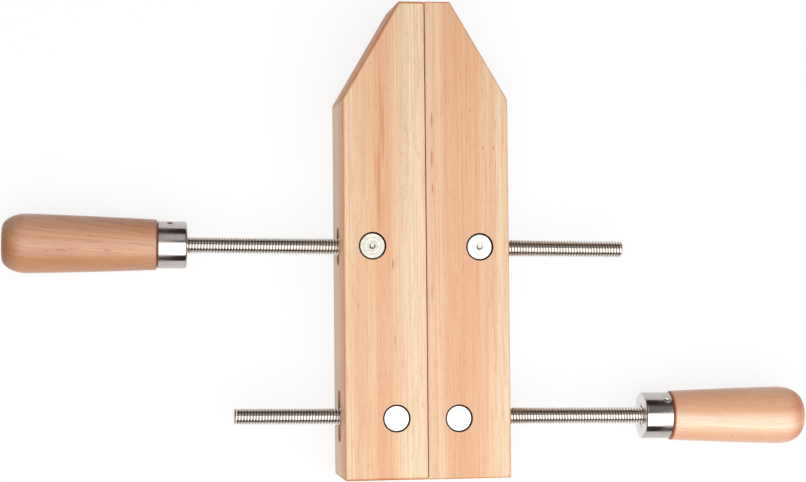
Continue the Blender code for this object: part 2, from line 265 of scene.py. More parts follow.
def dowel_bore(x, y):
    """A bore from face to face, with its two mouths flared a little."""
    reach = JAW_DEPTH / 2 - BORE_EASING
    step = BORE_EASING + CUT_OVERRUN
    grow = (BORE_RADIUS + step) / BORE_RADIUS
    bore = settle(fresh(bpy.ops.mesh.primitive_cylinder_add, vertices=BORE_STEPS,
                        radius=BORE_RADIUS, depth=2 * reach, location=(x, y, MID_HEIGHT)))
    for up in (-1, 1):
        select_where(bore, "FACE", lambda place: (place.z - MID_HEIGHT) * up > reach - TOUCH)
        bpy.ops.mesh.extrude_region_move(TRANSFORM_OT_translate={"value": (0, 0, up * step)})
        bpy.ops.transform.resize(value=(grow, grow, 1))
        bpy.ops.object.mode_set(mode="OBJECT")
    return bore


def mark_worked_faces(jaw, low, high, side, bores):
    """Notes on each face how much painted shade darkens it: 1 in a bore and less in a slot,
    where the walls lie in shade, and on an eased edge away from the seam its jaw's share."""
    inner_x, outer_x = inner_outer(low, high, side)
    nose_x = inner_x + side * NOSE_WIDTH
    slant = Vector((side * NOSE_TAPER, abs(outer_x - nose_x), 0)).normalized()
    sides = [(Vector((outer_x, high.y - NOSE_TAPER, 0)), slant)]
    for axis in range(3):
        way = Vector([float(n == axis) for n in range(3)])
        sides += [(high, way), (low, -way)]
    bored = jaw.data.attributes.new("bored", "FLOAT", "FACE")
    eased = jaw.data.attributes.new("eased", "FLOAT", "FACE")
    for face in jaw.data.polygons:
        near = [way for spot, way in sides if (spot - face.center).dot(way) < EASED_REACH]
        if any(face.normal.dot(way) > FLUSH for way in near):
            continue
        if len(near) > 1:
            off_seam = abs(face.center.x - inner_x) > EDGE_EASING
            # An eased edge away from the seam takes painted shade, by its jaw's share
            eased.data[face.index].value = EASING_SHARES[side] if off_seam else 0
            continue
        in_bore = any(math.dist(face.center[:2], spot) < BORED_REACH for spot in bores)
        bored.data[face.index].value = 1 if in_bore else SLOT_PAINTED_SHADE


def jaw_bar(name, node, side):
    """One jaw, from a cube: tapered, eased along its edges, then bored and slotted."""
    low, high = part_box(node)
    inner_x, outer_x = inner_outer(low, high, side)
    jaw = settle(fresh(bpy.ops.mesh.primitive_cube_add, size=1, location=(low + high) / 2,
                       scale=high - low))
    jaw.name = name
    bpy.ops.object.mode_set(mode="EDIT")
    bpy.ops.mesh.select_all(action="SELECT")
    run = abs(outer_x - inner_x) - NOSE_WIDTH
    bpy.ops.mesh.bisect(plane_co=(outer_x, high.y - NOSE_TAPER, 0),
                        plane_no=(side * NOSE_TAPER, run, 0), use_fill=True, clear_outer=True)
    bpy.ops.object.mode_set(mode="OBJECT")
    corners = jaw.data.vertices
    weights = jaw.data.attributes.new("bevel_weight_edge", "FLOAT", "EDGE")
    for edge in jaw.data.edges:
        at_seam = all(abs(corners[n].co.x - inner_x) < TOUCH for n in edge.vertices)
        share = SEAM_EASING / EDGE_EASING if at_seam else EASING_SHARES[side]
        weights.data[edge.index].value = share
    with_modifier(jaw, "BEVEL", width=EDGE_EASING, segments=EASING_STEPS, limit_method="WEIGHT")
    bores = []
    for place, line in (("middle", MIDDLE_LINE), ("end", END_LINE)):
        nut_low, nut_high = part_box(f"{place}_nut_{'left' if side == LEFT else 'right'}")
        spot = (nut_low + nut_high) / 2
        bores.append(spot[:2])
        joined(jaw, dowel_bore(spot.x, spot.y))
        joined(jaw, spindle_slot(spot.x - SEAM_X, inner_x - SEAM_X, outer_x - SEAM_X, line))
    mark_worked_faces(jaw, low, high, side, bores)
    take(jaw)
    bpy.ops.object.shade_smooth_by_angle(angle=SMOOTH_ANGLE)
    return jaw


jaw_low, jaw_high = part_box("left_jaw")
SEAM_X = (jaw_high.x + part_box("right_jaw")[0].x) / 2
JAW_DEPTH = jaw_high.z - jaw_low.z
MID_HEIGHT = (jaw_low.z + jaw_high.z) / 2
left_jaw = jaw_bar("left_jaw_bar", "left_jaw", LEFT)
right_jaw = jaw_bar("right_jaw_bar", "right_jaw", RIGHT)


def new_group(name, takes, gives):
    """An empty shader group with its named sockets: its tree, what comes in, what goes out."""
    tree = bpy.data.node_groups.new(name, "ShaderNodeTree")
    for word, kind in takes.items():
        tree.interface.new_socket(name=word, in_out="INPUT", socket_type="NodeSocket" + kind)
    for word, kind in gives.items():
        tree.interface.new_socket(name=word, in_out="OUTPUT", socket_type="NodeSocket" + kind)
    source = tree.nodes.new("NodeGroupInput")
    sink = tree.nodes.new("NodeGroupOutput")
    return tree, source.outputs, sink.inputs


def rise(tree, value, low, high, start=0.0, end=1.0):
    """A soft step from start to end, as the value goes from low to high."""
    return add_node(tree, "ShaderNodeMapRange", {0: value, 1: low, 2: high, 3: start, 4: end},
                    interpolation_type="SMOOTHSTEP").outputs[0]


def tint(tree, amount, under, over, blend="MIX"):
    """One colour laid over another by this amount."""
    return add_node(tree, "ShaderNodeMix", {0: amount, 6: under, 7: over},
                    data_type="RGBA", blend_type=blend).outputs[2]


def seen_from(tree, place, **spot):
    """A place as told from a spot of its own, by the spot's Location, Rotation or Scale."""
    return add_node(tree, "ShaderNodeMapping", {"Vector": place, **spot},
                    vector_type="TEXTURE").outputs[0]


def length_of(tree, vector):
    """How long a vector is."""
    return add_node(tree, "ShaderNodeVectorMath", {0: vector}, operation="LENGTH").outputs["Value"]


def off_axis(tree, place, first, second):
    """How far a place lies from an axis, by its two coordinates across the axis."""
    parts = add_node(tree, "ShaderNodeSeparateXYZ", {0: place}).outputs
    flat = add_node(tree, "ShaderNodeCombineXYZ", {0: parts[first], 1: parts[second]})
    return length_of(tree, flat.outputs[0])


def set_finish(tree, shader, colour, gloss, height=None, strength=0, depth=0):
    """Gives a shader its colour and roughness, and a relief of this strength and depth."""
    tree.links.new(colour, shader.inputs["Base Color"])
    tree.links.new(gloss, shader.inputs["Roughness"])
    if height is not None:
        relief = add_node(tree, "ShaderNodeBump",
                          {"Strength": strength, "Distance": depth, "Height": height})
        tree.links.new(relief.outputs[0], shader.inputs["Normal"])


# The layers of maple's grain: how fine each is along the three axes, how detailed its noise is,
# and over which of the noise's values it rises, and from what to what if not from 0 to 1
GRAIN_LAYERS = {
    "patches": ((60, 14, 20), 2, (0.35, 0.65, 0.3, 1.3)),
    "lines": ((900, 9, 120), 5, (0.42, 0.66)),
    "hairs": ((2300, 48, 500), 2, (0.50, 0.70)),
    "pores": ((1700, 190, 1700), 1, (0.60, 0.74)),
    "flecks": ((260, 620, 1900), 1, (0.58, 0.75)),
    "clouds": ((48, 9, 48), 2, (0.32, 0.68))}
GRAIN_ROUGHNESS = 0.55
NOISE_MIDDLE = (0.5, 0.5, 0.5)
SWAY_FINENESS = (22, 4.5, 22)
SWAY_REACH = (0.0015, 0, 0.0015)
# Turns an angle round the heart into a length
ROUND_RADIUS = 0.06
# Growth rings: how many a metre, how far they stray from even spacing and how often, and over
# which part of their wave they rise, from what to what
YEARS_PER_METRE = 880
YEAR_DRIFT = 20
DRIFT_FINENESS = 130
YEAR_RISE = (0.1, 1.0, 0.0, 0.5)
LINE_SHARE = 0.65
PORE_HEIGHT = -0.6
HAIR_HEIGHT = 0.5


def grain_noise(tree, vector, fineness, seed, detail):
    """Noise on a place, as fine along each axis as told."""
    stretched = add_node(tree, "ShaderNodeVectorMath", {0: vector, 1: fineness},
                         operation="MULTIPLY").outputs[0]
    return add_node(tree, "ShaderNodeTexNoise",
                    {"Vector": stretched, "W": seed, "Scale": 1, "Detail": detail,
                     "Roughness": GRAIN_ROUGHNESS}, noise_dimensions="4D").outputs


def grain_layer(tree, vector, seed, word):
    """One layer of the grain at a place, as GRAIN_LAYERS tells it."""
    fineness, detail, rises = GRAIN_LAYERS[word]
    return rise(tree, grain_noise(tree, vector, fineness, seed, detail)[0], *rises)


# Straight-grained maple as a solid: growth rings round the heart of the tree, which lies along
# Y through the point zero, with lines and hairs that follow them, pores, flecks and clouds.
grain, coming, going = new_group(
    "maple grain",
    {"Place": "Vector", "Near": "Float", "Far": "Float", "Seed": "Float"},
    {"Rings": "Float", "Lines": "Float", "Hairs": "Float", "Pores": "Float",
     "Flecks": "Float", "Clouds": "Float", "Height": "Float"})
seed = coming["Seed"]
sway = grain_noise(grain, coming["Place"], SWAY_FINENESS, seed, 1)["Color"]
sway = add_node(grain, "ShaderNodeVectorMath", {0: sway, 1: NOISE_MIDDLE},
                operation="SUBTRACT").outputs[0]
bent = add_node(grain, "ShaderNodeVectorMath", {0: sway, 1: SWAY_REACH, 2: coming["Place"]},
                operation="MULTIPLY_ADD").outputs[0]
radius = off_axis(grain, bent, "X", "Z")
parts = add_node(grain, "ShaderNodeSeparateXYZ", {0: bent}).outputs
angle = maths(grain, "ARCTAN2", parts["Z"], parts["X"])
round_about = maths(grain, "MULTIPLY", angle, ROUND_RADIUS)
ring_place = add_node(grain, "ShaderNodeCombineXYZ",
                      {0: radius, 1: parts["Y"], 2: round_about}).outputs[0]
rings = add_node(grain, "ShaderNodeMapRange", {0: radius, 1: coming["Near"], 2: coming["Far"]},
                 clamp=False).outputs[0]
drift = add_node(grain, "ShaderNodeTexNoise",
                 {"W": maths(grain, "MULTIPLY", radius, DRIFT_FINENESS), "Scale": 1, "Detail": 1},
                 noise_dimensions="1D").outputs[0]
turn = maths(grain, "MULTIPLY_ADD", radius, math.tau * YEARS_PER_METRE,
             maths(grain, "MULTIPLY", drift, YEAR_DRIFT))
years = rise(grain, maths(grain, "SINE", turn), *YEAR_RISE)
years = maths(grain, "MULTIPLY", years, grain_layer(grain, ring_place, seed, "patches"))
lines = maths(grain, "MULTIPLY_ADD", grain_layer(grain, ring_place, seed, "lines"), LINE_SHARE,
              years)
hairs = grain_layer(grain, ring_place, seed, "hairs")
pores = grain_layer(grain, bent, seed, "pores")
flecks = grain_layer(grain, ring_place, seed, "flecks")
clouds = grain_layer(grain, coming["Place"], seed, "clouds")
height = maths(grain, "MULTIPLY_ADD", pores, PORE_HEIGHT, lines)
height = maths(grain, "MULTIPLY_ADD", hairs, HAIR_HEIGHT, height)
for word, value in (("Rings", rings), ("Lines", lines), ("Hairs", hairs), ("Pores", pores),
                    ("Flecks", flecks), ("Clouds", clouds), ("Height", height)):
    grain.links.new(value, going[word])

# One short mark in wood: a soft oval, full at its core and gone at its rim
MARK_CORE = 0.4
mark_group, coming, going = new_group(
    "wood mark",
    {"Place": "Vector", "Middle": "Vector", "Size": "Vector", "Strength": "Float"},
    {"Amount": "Float"})
local = seen_from(mark_group, coming["Place"], Location=coming["Middle"], Scale=coming["Size"])
mark_group.links.new(rise(mark_group, length_of(mark_group, local), MARK_CORE, 1.0,
                          coming["Strength"], 0.0), going["Amount"])

# End grain: how far a face turns across the grain, which lies along Y before its own turn
end_group, coming, going = new_group(
    "end grain", {"Facing": "Vector", "Turn": "Vector", "Start": "Float", "Full": "Float"},
    {"Amount": "Float"})
along = add_node(end_group, "ShaderNodeVectorRotate",
                 {"Vector": coming["Facing"], "Rotation": coming["Turn"]},
                 rotation_type="EULER_XYZ", invert=True).outputs[0]
cut = add_node(end_group, "ShaderNodeSeparateXYZ", {0: along}).outputs["Y"]
end_group.links.new(rise(end_group, maths(end_group, "ABSOLUTE", cut), coming["Start"],
                         coming["Full"]), going["Amount"])


def srgb(red, green, blue):
    """A colour written as on screen, from 0 to 255, as the shader wants it."""
    steps = [value / 255 for value in (red, green, blue)]
    return tuple(v / 12.92 if v < 0.04045 else ((v + 0.055) / 1.055) ** 2.4 for v in steps) + (1,)


# How strongly each layer shows in the colour, and how much it dulls the surface
CLOUDS_WARM = 0.2
LINES_SHOW = 0.38
HAIRS_SHOW = 0.4
PORES_SHOW = 0.38
FLECKS_SHOW = 0.15
LINES_DULL = 0.07
END_GRAIN_DULL = 0.15
GRAIN_RELIEF = (0.25, 0.00005)
WOOD_GLEAM = 0.25
COAT_ROUGHNESS = 0.28
# Painted shade, multiplied into the wood on eased edges, and on the walls of bores and slots
EASED_EDGE_PAINTED_SHADE = (0.84, 0.65, 0.54, 1)
BORE_PAINTED_SHADE = (0.14, 0.07, 0.04, 1)


def maple(name, heart, turn, near, far, seed, bands, marks, pale, warm, streak, pore, end_grain,
          turns, roughness, coat, ribs=LINES_SHOW, worked=False):
    """Maple cut from its own place in the tree. Bands are pairs of a place between near and
    far, and how warm the wood is there. Marks are short mineral marks: where and how large
    they are, how strong, and their colour. Turns are how far a face turns across the grain
    before it begins to darken as end grain does, and before it is fully dark. Ribs are how
    strongly the fine lines show. Worked wood takes painted shade on its bored and eased faces."""
    made = bpy.data.materials.new(name)
    made.use_nodes = True
    tree = made.node_tree
    shader = tree.nodes["Principled BSDF"]
    place = add_node(tree, "ShaderNodeTexCoord").outputs["Object"]
    centred = seen_from(tree, place, Location=heart, Rotation=turn)
    wood = add_node(tree, "ShaderNodeGroup",
                    {"Place": centred, "Near": near, "Far": far, "Seed": seed}, node_tree=grain)
    ramp = add_node(tree, "ShaderNodeValToRGB", {0: wood.outputs["Rings"]})
    steps = ramp.color_ramp.elements
    steps[0].position, steps[1].position = bands[0][0], bands[-1][0]
    for spot, warmth in bands[1:-1]:
        steps.new(spot)
    for step, (spot, warmth) in zip(steps, bands):
        step.color = (warmth, warmth, warmth, 1)
    warmth = maths(tree, "MULTIPLY_ADD", wood.outputs["Clouds"], CLOUDS_WARM, ramp.outputs[0])
    warmth = add_node(tree, "ShaderNodeMath", {0: warmth, 1: -CLOUDS_WARM / 2}, operation="ADD",
                      use_clamp=True).outputs[0]
    colour = tint(tree, warmth, pale, warm)
    for word, show, shade in (("Lines", ribs, streak), ("Hairs", HAIRS_SHOW, streak),
                              ("Pores", PORES_SHOW, pore), ("Flecks", FLECKS_SHOW, pale)):
        colour = tint(tree, maths(tree, "MULTIPLY", wood.outputs[word], show), colour, shade)
    for middle, size, strength, shade in marks:
        mark = add_node(tree, "ShaderNodeGroup",
                        {"Place": place, "Middle": middle, "Size": size, "Strength": strength},
                        node_tree=mark_group)
        colour = tint(tree, mark.outputs["Amount"], colour, shade)
    facing = add_node(tree, "ShaderNodeNewGeometry").outputs["Normal"]
    across = add_node(tree, "ShaderNodeGroup",
                      {"Facing": facing, "Turn": turn, "Start": turns[0], "Full": turns[1]},
                      node_tree=end_group).outputs["Amount"]
    colour = tint(tree, across, colour, end_grain, "MULTIPLY")
    # Painted shade: darker on eased edges, and in bores and slots, where the walls lie in shade
    if worked:
        for word, shade in (("eased", EASED_EDGE_PAINTED_SHADE), ("bored", BORE_PAINTED_SHADE)):
            amount = add_node(tree, "ShaderNodeAttribute", attribute_name=word).outputs["Fac"]
            colour = tint(tree, amount, colour, shade, "MULTIPLY")
    gloss = maths(tree, "MULTIPLY_ADD", wood.outputs["Lines"], LINES_DULL, roughness)
    gloss = maths(tree, "MULTIPLY_ADD", across, END_GRAIN_DULL, gloss)
    set_finish(tree, shader, colour, gloss, wood.outputs["Height"], *GRAIN_RELIEF)
    shader.inputs["Specular IOR Level"].default_value = WOOD_GLEAM
    shader.inputs["Coat Weight"].default_value = coat
    shader.inputs["Coat Roughness"].default_value = COAT_ROUGHNESS
    return made


JAW_PALE = srgb(239, 219, 184)
JAW_WARM = srgb(228, 178, 141)
JAW_STREAK = srgb(216, 155, 117)
JAW_PORE = srgb(196, 136, 98)
BROWN_MARK = srgb(164, 92, 54)
ORANGE_MARK = srgb(206, 138, 96)
JAW_WOOD = {"turn": (0, 0, 0), "pale": JAW_PALE, "warm": JAW_WARM, "streak": JAW_STREAK,
            "pore": JAW_PORE, "end_grain": (0.86, 0.62, 0.48, 1), "turns": (0.1, 0.7),
            "roughness": 0.45, "coat": 0.05, "worked": True}
LEFT_HEART = (-0.1063, 0, -0.040)
RIGHT_HEART = (0.1037, 0, -0.050)
RIGHT_RIBS = 0.52
TOP = JAW_DEPTH
MARK_DEPTH = 0.004


def jaw_marks(*rows):
    """Marks on a jaw's upper side, from the x and y of each, half its width, half its length,
    how strong it is, and its colour."""
    return [((x, y, TOP), (width, length, MARK_DEPTH), strength, shade)
            for x, y, width, length, strength, shade in rows]


left_maple = maple(
    "maple of the left jaw", LEFT_HEART, near=0.0773, far=0.1387, seed=3.1, **JAW_WOOD,
    bands=((0, 0.35), (0.28, 0.3), (0.34, 0.9), (0.45, 0.7), (0.49, 0.3), (0.53, 0.3),
           (0.56, 0.5), (0.65, 0.6), (0.68, 0.95), (0.76, 0.95), (0.80, 0.5), (0.85, 0.3),
           (0.89, 0.1), (1, 0.15)),
    marks=jaw_marks((-0.0209, 0.0285, 0.0013, 0.034, 0.7, ORANGE_MARK),
                    (-0.0186, 0.0583, 0.0010, 0.026, 0.6, ORANGE_MARK),
                    (-0.0199, 0.0700, 0.0006, 0.030, 0.55, ORANGE_MARK),
                    (-0.0187, 0.0180, 0.0005, 0.016, 0.5, ORANGE_MARK),
                    (-0.0228, 0.0380, 0.0006, 0.014, 0.5, ORANGE_MARK),
                    (-0.0137, -0.0130, 0.0006, 0.0036, 0.6, BROWN_MARK),
                    (-0.0130, -0.0532, 0.0005, 0.0040, 0.5, BROWN_MARK),
                    (-0.0323, -0.0348, 0.0005, 0.0032, 0.35, BROWN_MARK))
    # A broad warm streak, which goes deeper than the rest
    + [((-0.0313, -0.0620, TOP), (0.0062, 0.0750, 0.010), 0.34, JAW_STREAK)])
right_maple = maple(
    "maple of the right jaw", RIGHT_HEART, near=0.0742, far=0.1368, seed=7.7, ribs=RIGHT_RIBS,
    **JAW_WOOD,
    bands=((0, 0.4), (0.3, 0.5), (0.52, 0.35), (0.56, 0.3), (0.61, 0.38), (0.64, 0.62),
           (0.69, 0.72), (0.72, 0.92), (0.80, 1), (0.885, 0.9), (0.92, 0.5), (0.95, 0.5),
           (0.97, 0.6), (1, 0.5)),
    marks=jaw_marks((0.0078, 0.0642, 0.0006, 0.0055, 0.55, BROWN_MARK),
                    (0.0077, 0.0433, 0.0006, 0.0065, 0.6, BROWN_MARK),
                    (0.0079, 0.0274, 0.0006, 0.0036, 0.5, BROWN_MARK),
                    (0.0355, 0.0488, 0.0006, 0.0011, 0.6, BROWN_MARK),
                    (0.0410, 0.0489, 0.0006, 0.0011, 0.5, BROWN_MARK),
                    (0.0286, 0.0686, 0.0004, 0.0010, 0.5, BROWN_MARK),
                    (0.0071, -0.0280, 0.0009, 0.0070, 0.25, BROWN_MARK)))

for jaw, look, body in ((left_jaw, left_maple, "left_jaw"), (right_jaw, right_maple, "right_jaw")):
    jaw.data.materials.append(look)
    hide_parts(body)
    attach(jaw, body)


# Swivel nuts
# Four steel dowels, each parted off a turned bar and threaded crosswise for its spindle. They
# turn in the jaws' bores. The middle pair keeps a lathe's centre mark and rings on its faces.
NUT_RADIUS = 0.0066
NUT_CHAMFER = 0.0002
# How far the chamfer's middle stands back from the corner, as a share of the chamfer
NUT_CHAMFER_SETBACK = 0.3
NUT_CENTRE_RADIUS = 0.0017
NUT_CENTRE_DEPTH = 0.0004
NUT_CENTRE_POINT = 0.0001
NUT_THREAD_GAP = 0.00018
NUT_SMOOTH_ANGLE = math.radians(15)
THREAD_CREST = 0.00476
THREAD_ROOT = 0.00379
THREAD_PITCH = 0.0015875
THREAD_STEPS = 48
# A thread's ridge: how far along a pitch, and how high between root and crest
THREAD_RIDGE = ((0, 0), (0.10, 0.05), (0.40, 0.86), (0.46, 0.98), (0.54, 0.98), (0.60, 0.86),
                (0.90, 0.05), (1, 0))
LEFT_HAND, RIGHT_HAND = -1, 1
TURNED_STEPS = 96
WELD = 0.000002
CUT_WELD = WELD / 10
SPECK = 0.001
PATCH_DETAIL = 3


def chain(points):
    """Edges through (radius, height) points in the XZ plane, drawn out from one point."""
    outline = fresh(bpy.ops.mesh.primitive_plane_add, size=SPECK)
    bpy.ops.object.mode_set(mode="EDIT")
    bpy.ops.mesh.select_all(action="SELECT")
    bpy.ops.mesh.merge(type="CENTER")
    here = (0, 0)
    for count, point in enumerate(points):
        step = {"value": (point[0] - here[0], 0, point[1] - here[1])}
        if count == 0:
            bpy.ops.transform.translate(**step)
        else:
            bpy.ops.mesh.extrude_vertices_move(TRANSFORM_OT_translate=step)
        here = point
    bpy.ops.object.mode_set(mode="OBJECT")
    return outline


def weld(piece):
    """Merges what meets and turns all faces outwards."""
    take(piece)
    bpy.ops.object.mode_set(mode="EDIT")
    bpy.ops.mesh.select_mode(type="VERT")
    bpy.ops.mesh.select_all(action="SELECT")
    bpy.ops.mesh.remove_doubles(threshold=WELD)
    bpy.ops.mesh.normals_make_consistent(inside=False)
    bpy.ops.object.mode_set(mode="OBJECT")
    return piece


def turned(points, steps=TURNED_STEPS, closed=False):
    """A profile turned round Z."""
    if closed:
        points = list(points) + [points[0]]
    blank = chain(points)
    with_modifier(blank, "SCREW", axis="Z", angle=math.tau, steps=steps, render_steps=steps)
    return weld(blank)


def on_spindle(reach, line):
    """The place on a leaning spindle's axis that lies this far from the seam, right or left."""
    return (SEAM_X + reach * math.cos(LEAN), line + reach * math.sin(LEAN), MID_HEIGHT)


def laid_on_spindle(piece, reach, line, turn=1):
    """Lays what was made round Z along a spindle, with its Z towards the right or the left."""
    piece.rotation_euler = (0, turn * QUARTER_TURN, LEAN)
    piece.location = on_spindle(reach, line)
    return settle(piece)


def reach_of(x, radius=0):
    """How far from the seam a round piece on a spindle ends, when its box ends at x. The lean
    carries the end's rim past its middle, or with a negative radius short of it."""
    return (abs(x - SEAM_X) - radius * abs(math.sin(LEAN))) / math.cos(LEAN)


def arc(centre, radius, start, end, steps):
    """Points on an arc, both ends included; the angles are in degrees."""
    angles = [math.radians(start + (end - start) * n / steps) for n in range(steps + 1)]
    return [(centre[0] + radius * math.cos(a), centre[1] + radius * math.sin(a)) for a in angles]


def threaded_bar(low, high, hand, gap=0):
    """A rolled thread round Z, from low to high, with round roots and crests, and larger all
    round by a gap. All such bars have their ridges in step, so a screw fits the nut that is
    cut with another."""
    crest = THREAD_CREST + gap
    root = THREAD_ROOT + gap
    depth = crest - root
    first = math.floor(low / THREAD_PITCH) - 1
    last = math.ceil(high / THREAD_PITCH) + 1
    start = first * THREAD_PITCH
    bar = chain([(root + depth * up, start + THREAD_PITCH * on) for on, up in THREAD_RIDGE])
    with_modifier(bar, "SCREW", axis="Z", angle=math.tau * hand, screw_offset=THREAD_PITCH,
                  iterations=last - first, steps=THREAD_STEPS, render_steps=THREAD_STEPS)
    weld(bar)
    bpy.ops.object.mode_set(mode="EDIT")
    for height, up in ((low, -1), (high, 1)):
        bpy.ops.mesh.select_all(action="SELECT")
        bpy.ops.mesh.bisect(plane_co=(0, 0, height), plane_no=(0, 0, up), use_fill=True,
                            clear_outer=True, threshold=CUT_WELD)
    bpy.ops.mesh.select_all(action="SELECT")
    bpy.ops.mesh.normals_make_consistent(inside=False)
    bpy.ops.object.mode_set(mode="OBJECT")
    return bar


def metal(name):
    """A plain metal to build on: its material, tree, shader and place in metres."""
    made = bpy.data.materials.new(name)
    made.use_nodes = True
    tree = made.node_tree
    shader = tree.nodes["Principled BSDF"]
    shader.inputs["Metallic"].default_value = 1.0
    return made, tree, shader, add_node(tree, "ShaderNodeTexCoord").outputs["Object"]


def dull_patches(tree, vector, seed, fineness, low, high):
    """Soft patches where metal is duller."""
    noise = add_node(tree, "ShaderNodeTexNoise",
                     {"Vector": vector, "W": seed, "Scale": fineness, "Detail": PATCH_DETAIL},
                     noise_dimensions="4D")
    return rise(tree, noise.outputs[0], low, high)


# Marks that a lathe or a polishing wheel leaves: fine rings round an axis that lies along Z
# through the point zero, and clouds where the metal is duller.
RING_DETAIL = 3
RING_ROUGHNESS = 0.7
CLOUD_FINENESS = 320
CLOUD_RISE = (0.35, 0.7)
rings_group, coming, going = new_group(
    "turning marks", {"Place": "Vector", "Fineness": "Float", "Seed": "Float"},
    {"Rings": "Float", "Clouds": "Float"})
on_axis = add_node(rings_group, "ShaderNodeSeparateXYZ", {0: coming["Place"]}).outputs["Z"]
run = maths(rings_group, "ADD", off_axis(rings_group, coming["Place"], "X", "Y"), on_axis)
fine = maths(rings_group, "MULTIPLY", run, coming["Fineness"])
rings = add_node(rings_group, "ShaderNodeTexNoise",
                 {"W": fine, "Scale": 1, "Detail": RING_DETAIL, "Roughness": RING_ROUGHNESS},
                 noise_dimensions="1D")
clouds = dull_patches(rings_group, coming["Place"], coming["Seed"], CLOUD_FINENESS, *CLOUD_RISE)
rings_group.links.new(rings.outputs[0], going["Rings"])
rings_group.links.new(clouds, going["Clouds"])

NUT_ROUGHNESS = 0.28
NUT_CLOUDS_DULL = 0.08
NUT_RINGS_DULL = 0.06
NUT_WEAR_RISE = (0.42, 0.62)
NUT_CLOUDS_WEAR = 0.4
NUT_WEAR_SHOW = 0.7
NUT_RELIEF = (0.3, 0.00003)
# Pieces of one kind take their seeds from where they lie, times this
SEED_SCALE = 100


def nut_steel(name, x, y, bright, dull, fineness):
    """Turned steel, with the lathe's rings round the dowel's own axis."""
    made, tree, shader, place = metal(name)
    centred = seen_from(tree, place, Location=(x, y, 0))
    marks = add_node(tree, "ShaderNodeGroup",
                     {"Place": centred, "Fineness": fineness, "Seed": x * SEED_SCALE},
                     node_tree=rings_group)
    gloss = maths(tree, "MULTIPLY_ADD", marks.outputs["Clouds"], NUT_CLOUDS_DULL, NUT_ROUGHNESS)
    gloss = maths(tree, "MULTIPLY_ADD", marks.outputs["Rings"], NUT_RINGS_DULL, gloss)
    worn = rise(tree, marks.outputs["Rings"], *NUT_WEAR_RISE)
    worn = maths(tree, "MULTIPLY_ADD", marks.outputs["Clouds"], NUT_CLOUDS_WEAR, worn)
    colour = tint(tree, maths(tree, "MULTIPLY", worn, NUT_WEAR_SHOW), bright, dull)
    set_finish(tree, shader, colour, gloss, marks.outputs["Rings"], *NUT_RELIEF)
    return made


# Each dowel: where it is, whether it has a centre mark, its brighter and duller steel, and
# how fine its rings are
for place, line, centre_mark, word, bright, dull, fineness in (
        ("middle", MIDDLE_LINE, True, "left", (0.5, 0.49, 0.44, 1), (0.32, 0.3, 0.25, 1), 1500),
        ("middle", MIDDLE_LINE, True, "right", (0.56, 0.56, 0.54, 1), (0.45, 0.44, 0.4, 1), 1500),
        ("end", END_LINE, False, "left", (0.7, 0.7, 0.69, 1), (0.6, 0.6, 0.58, 1), 5200),
        ("end", END_LINE, False, "right", (0.7, 0.7, 0.69, 1), (0.6, 0.6, 0.58, 1), 5200)):
    side = LEFT if word == "left" else RIGHT
    node = f"{place}_nut_{word}"
    low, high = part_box(node)
    x, y = (low.x + high.x) / 2, (low.y + high.y) / 2
    half = (high.z - low.z) / 2
    face = [(0, half), (NUT_RADIUS - NUT_CHAMFER, half)]
    if centre_mark:
        deep = half - NUT_CENTRE_DEPTH
        face = [(0, deep - NUT_CENTRE_POINT), (NUT_CENTRE_RADIUS / 4, deep),
                (NUT_CENTRE_RADIUS / 2, deep), (NUT_CENTRE_RADIUS, half), face[1]]
    setback = NUT_CHAMFER * NUT_CHAMFER_SETBACK
    top = face + [(NUT_RADIUS - setback, half - setback), (NUT_RADIUS, half - NUT_CHAMFER)]
    bottom = [(r, -z) for r, z in reversed(top)]
    nut = turned(top + bottom)
    nut.name = f"{node}_dowel"
    nut.location = (x, y, MID_HEIGHT)
    settle(nut)
    reach = NUT_RADIUS + CUT_OVERRUN
    middle = side * reach_of(x)
    hand = LEFT_HAND if side == LEFT else RIGHT_HAND
    tap = threaded_bar(middle - reach, middle + reach, hand, NUT_THREAD_GAP)
    joined(nut, laid_on_spindle(tap, 0, line))
    take(nut)
    bpy.ops.object.shade_smooth_by_angle(angle=NUT_SMOOTH_ANGLE)
    nut.data.materials.append(nut_steel(f"steel of {node}", x, y, bright, dull, fineness))
    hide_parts(node)
    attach(nut, "left_jaw" if side == LEFT else "right_jaw")


# Spindles
# Two plated steel rods with rolled threads, left-handed on the left half and right-handed on
# the right, and a short plain band where they change over. A plain tail is driven into the
# handle. The tip is chamfered.
BAND_HALF = 0.003
BAND_RADIUS = 0.004275
TAIL_RADIUS = 0.003108
TAIL_LENGTH = 0.03
TAIL_CHAMFER_WIDTH = 0.0004
TAIL_CHAMFER_LENGTH = 0.0006
TIP_CHAMFER = 0.0008
TRIM_MARGIN = 0.001
THREAD_SMOOTH_ANGLE = math.radians(50)
ROOT_COLOUR = (0.32, 0.26, 0.23, 1)
CREST_COLOUR = (0.94, 0.92, 0.88, 1)
DULL_PLATING = (0.55, 0.5, 0.44, 1)
DULL_FINENESS = 260
DULL_RISE = (0.4, 0.7)
DULL_SHOW = 0.25
ROOT_ROUGHNESS = 0.26
CREST_POLISH = -0.14
DULL_ROUGHENS = 0.06

# What shows on a thread: how near its crest a place is, round an axis that lies along the X of
# Along, and patches where the plating is duller.
thread_group, coming, going = new_group(
    "thread wear", {"Place": "Vector", "Along": "Vector", "Seed": "Float"},
    {"Crest": "Float", "Dull": "Float"})
radius = off_axis(thread_group, coming["Along"], "Y", "Z")
thread_group.links.new(rise(thread_group, radius, THREAD_ROOT, THREAD_CREST), going["Crest"])
thread_group.links.new(dull_patches(thread_group, coming["Place"], coming["Seed"],
                                    DULL_FINENESS, *DULL_RISE), going["Dull"])


